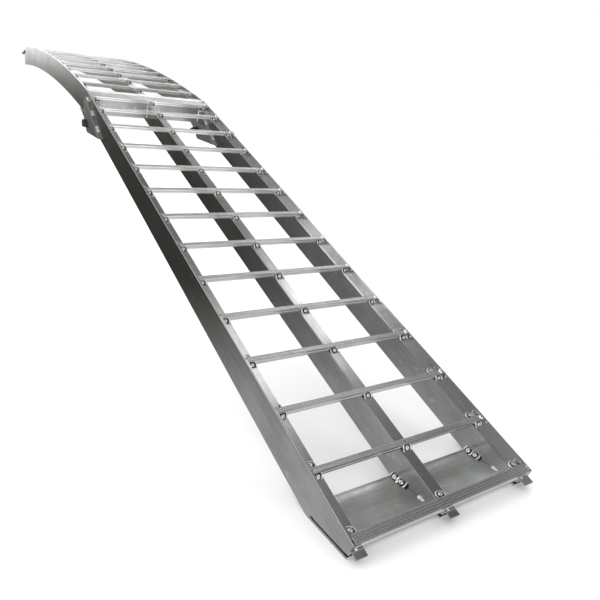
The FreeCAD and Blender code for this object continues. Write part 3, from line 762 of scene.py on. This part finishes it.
tab_welds_lower = Piece("tab_welds_lower")
tab_welds_upper = Piece("tab_welds_upper")
for piece, place in ((tab_welds_lower, on_lower(HALF_WIDTH, 11.25 * RUNG_PITCH)),
                     (tab_welds_upper, on_upper(HALF_WIDTH - CLEARANCE, 4.7 * RUNG_PITCH))):
    for way in (-1, 1):
        low = place @ Vector((0, way * 2 * MM, -3 * MM))
        high = place @ Vector((0, way * 2 * MM, -29 * MM))
        bead(piece, low, high, place.to_3x3() @ Vector((1, way, 0)), 4 * MM, 2 * MM)
tab_welds_lower.done("lower_section", "weld", sharp=75)
tab_welds_upper.done("upper_section", "weld", sharp=75)

FINGER_HALF = RAIL_WIDTH / 2 - CLEARANCE - 1.5 * MM
FINGER_BASE = -8.8 * MM
FINGER_TOP = 0.2 * MM
FINGER_REACH = 66 * MM
FINGER_BEVEL = 14 * MM
FINGER_TIP = 3 * MM
SLEEVE_GAP = 2 * MM


def finger_top(run):
    share = max(0.0, (run - FINGER_BEVEL) / (FINGER_REACH - FINGER_BEVEL))
    return FINGER_TOP + (FINGER_BASE + FINGER_TIP - FINGER_TOP) * min(1.0, share)


def sleeve_ring(place, run, grow, power=7.0):
    """A rounded rectangle around the finger, grown by a wall."""
    top, base = finger_top(run) + grow, FINGER_BASE - grow
    half_high, middle = (top - base) / 2, (top + base) / 2
    half_wide = FINGER_HALF + grow
    ring = []
    for turn in circle(40):
        c, s = math.cos(turn), math.sin(turn)
        reach = (abs(c) ** power + abs(s) ** power) ** (-1 / power)
        ring.append(place @ Vector((c * reach * half_wide, run, middle + s * reach * half_high)))
    return ring


def finger_sleeve(side):
    """Dipped vinyl cap with a thick rolled lip and a rounded tip."""
    place = on_upper(RAIL_X[side], UPPER_RUN)
    piece = Piece(f"vinyl_cap_{side}")
    inner = 0.05 * MM
    rings = [sleeve_ring(place, SLEEVE_GAP + run * MM, inner) for run in (4, 0.6)]
    rings.append(sleeve_ring(place, SLEEVE_GAP + 0.1 * MM, 0.6 * MM))
    for run, grow in ((0.0, 1.3), (0.5, 1.75), (1.4, 1.95), (2.4, 1.8), (3.6, 1.5), (6.0, 1.45)):
        rings.append(sleeve_ring(place, SLEEVE_GAP + run * MM, grow * MM))
    for run in spread(SLEEVE_GAP + 9 * MM, FINGER_REACH - 2 * MM, 14):
        wave = 0.06 * MM * math.sin(run * 260 + RAIL_X[side] * 50)
        rings.append(sleeve_ring(place, run, 1.5 * MM + wave))
    for turn in spread(0.15, 1.45, 6):
        rings.append(sleeve_ring(place, FINGER_REACH - 0.6 * MM + 2.1 * MM * math.sin(turn),
                                 1.6 * MM - 2.0 * MM * (1 - math.cos(turn)), 5.0))
    piece.rings(rings)
    piece.done("upper_section", "vinyl", sharp=60, replaces=[f"finger_sleeve_{side}"])


top_welds = Piece("finger_welds")
for side, x in RAIL_X.items():
    finger_sleeve(side)
    place = on_upper(x, UPPER_RUN - FINGER_SEAT)
    half = RAIL_WIDTH / 2 - 3.1 * MM
    bead(top_welds, place @ Vector((-half, 0, 0.2 * MM)), place @ Vector((half, 0, 0.2 * MM)),
         place.to_3x3() @ Vector((0, 0.2, 1)), 5 * MM, 1.6 * MM)
top_welds.done("upper_section", "weld", sharp=75)


# ---------------------------------------------------------------- floor, light and camera

FLOOR_HALF = 14.0
floor_corners = [(-FLOOR_HALF, -FLOOR_HALF, 0), (FLOOR_HALF, -FLOOR_HALF, 0),
                 (FLOOR_HALF, FLOOR_HALF, 0), (-FLOOR_HALF, FLOOR_HALF, 0)]
floor_mesh = bpy.data.meshes.new("floor")
floor_mesh.from_pydata(floor_corners, [], [(0, 1, 2, 3)])
floor = bpy.data.objects.new("floor", floor_mesh)
bpy.context.scene.collection.objects.link(floor)
floor_material, n = new_material("pale_floor")
mottle = n.noise(n.put("ShaderNodeTexCoord").outputs["Object"], (1.5, 1.5, 1.5), 3.0)
pale = n.mix(mottle, (0.90, 0.90, 0.90, 1.0), (0.94, 0.94, 0.94, 1.0))
unevenness = n.put("ShaderNodeBump", Strength=0.02, Height=mottle).outputs[0]
output(n, pale, 0.75, unevenness, metallic=0.0)
floor_mesh.materials.append(floor_material)
floor.visible_glossy = False

LIGHT = (0.98, 1.0, 0.995)
DARK = (1.05, 1.0, 0.90)
SKY = (
    # (height + 1) / 2 of a direction, how bright it is there and its tint
    (0.0, 0.60, LIGHT), (0.10, 0.60, LIGHT), (0.21, 0.56, LIGHT), (0.265, 0.42, LIGHT),
    (0.30, 0.26, LIGHT), (0.335, 0.09, DARK), (0.36, 0.035, DARK), (0.495, 0.045, DARK),
    (0.508, 0.13, DARK), (0.521, 0.23, DARK), (0.530, 0.55, LIGHT), (0.545, 1.5, LIGHT),
    (0.62, 1.4, LIGHT), (0.70, 1.15, LIGHT), (0.79, 1.2, LIGHT), (0.818, 1.1, LIGHT),
    (0.84, 0.10, LIGHT), (0.88, 0.11, LIGHT), (0.925, 0.22, LIGHT), (1.0, 0.28, LIGHT),
)
CAMERA_SIDE_FLOOR = (0.8, 0.8, 0.79, 1.0)
BEHIND_CAMERA = (1.5, 1.5, 1.49, 1.0)
LEFT_FLOOR = (0.40, 0.405, 0.40, 1.0)
RIGHT_WALL = (0.10, 0.10, 0.10, 1.0)
WHITE = (1.0, 1.0, 1.0, 1.0)
# how far to the right and to the left of straight ahead the two high panels hang
PANEL_TURN = math.radians(57)

# The metal mirrors this studio. Turns are in radians from straight ahead, right is positive,
# and up is the height of a direction, from -1 to 1.
world = bpy.data.worlds.new("studio")
bpy.context.scene.world = world
world.use_nodes = True
n = Nodes(world.node_tree)
direction = n.put("ShaderNodeTexCoord").outputs["Generated"]
right, ahead, up = n.put("ShaderNodeSeparateXYZ", Vector=direction).outputs
turn = n.math("ARCTAN2", right, ahead)
height = n.put("ShaderNodeMapRange", Value=up, From_Min=-1.0, From_Max=1.0).outputs[0]
ramp = n.put("ShaderNodeValToRGB", Fac=height)
elements = ramp.color_ramp.elements
while len(elements) < len(SKY):
    elements.new(0.5)
for element, (position, level, tint) in zip(elements, SKY):
    element.position = position
    element.color = (*(level * part for part in tint), 1.0)

below = n.between(up, 0.06, 0.0)
camera_side = n.product(n.between(ahead, 0.0, -0.3), below)
seen = n.mix(camera_side, ramp.outputs["Color"], CAMERA_SIDE_FLOOR)
behind = n.product(n.between(ahead, -0.5, -0.9), n.between(up, 0.3, 0.1))
seen = n.mix(behind, seen, BEHIND_CAMERA)
left_low = n.product(n.between(turn, -0.42, -0.72, 0.0, 0.55), below)
seen = n.mix(left_low, seen, LEFT_FLOOR)
right_low = n.product(
    n.between(turn, 0.6, 0.78, 0.0, 0.75), n.between(up, 0.0, 0.1), n.between(up, 0.68, 0.62))
seen = n.mix(right_low, seen, RIGHT_WALL)

# a high panel on either side, and a wide low window a little to the right of straight ahead
aside = n.math("ABSOLUTE", n.math("SUBTRACT", n.math("ABSOLUTE", turn), PANEL_TURN))
core = n.between(aside, 0.0, 0.26, 1.9, 0.0)
halo = n.between(aside, 0.0, 0.6, 0.25, 0.0)
panels = n.product(n.total(core, halo), n.between(up, 0.6, 0.68), n.between(up, 0.92, 0.87))
window = n.product(
    n.between(turn, 0.66, 0.48), n.between(turn, 0.0, 0.12),
    n.between(up, 0.05, 0.1), n.between(up, 0.65, 0.58))
lamps = n.total(panels, window)
glow = n.put("ShaderNodeCombineColor", i0=lamps, i1=lamps, i2=lamps).outputs[0]
lit = n.put("ShaderNodeMix", {"data_type": "RGBA", "blend_type": "ADD"})
for socket, value in ((0, 1.0), (6, seen), (7, glow)):
    n.feed(lit.inputs[socket], value)
camera_ray = n.put("ShaderNodeLightPath").outputs["Is Camera Ray"]
backdrop = n.mix(camera_ray, lit.outputs[2], WHITE)
background = n.put("ShaderNodeBackground", Color=backdrop, Strength=1.0)
n.put("ShaderNodeOutputWorld", Surface=background.outputs[0])

# wide daylight for the floor and the vinyl, which the metal does not mirror
daylight_data = bpy.data.lights.new("dome", "SUN")
daylight_data.energy = 2.6
daylight_data.angle = math.radians(150)
daylight = bpy.data.objects.new("dome", daylight_data)
daylight.visible_glossy = False
daylight.rotation_mode = "QUATERNION"
daylight.rotation_quaternion = Vector((0.15, -0.3, -1.0)).to_track_quat("-Z", "Y")
bpy.context.scene.collection.objects.link(daylight)

camera_data = bpy.data.cameras.new("camera")
camera_data.sensor_width = 36.0
camera_data.lens = 33.555
camera_data.shift_x = -0.01825
camera_data.shift_y = 0.00672
camera_data.clip_start, camera_data.clip_end = 0.01, 60.0
camera = bpy.data.objects.new("camera", camera_data)
bpy.context.scene.collection.objects.link(camera)
camera.matrix_world = Matrix((
    (0.835028, 0.104282, -0.540234, -0.454019),
    (-0.544815, 0.293834, -0.785390, -0.391667),
    (0.076837, 0.950151, 0.302174, 0.417780),
    (0.0, 0.0, 0.0, 1.0),
))
bpy.context.scene.camera = camera
bpy.context.scene.view_settings.view_transform = "Standard"
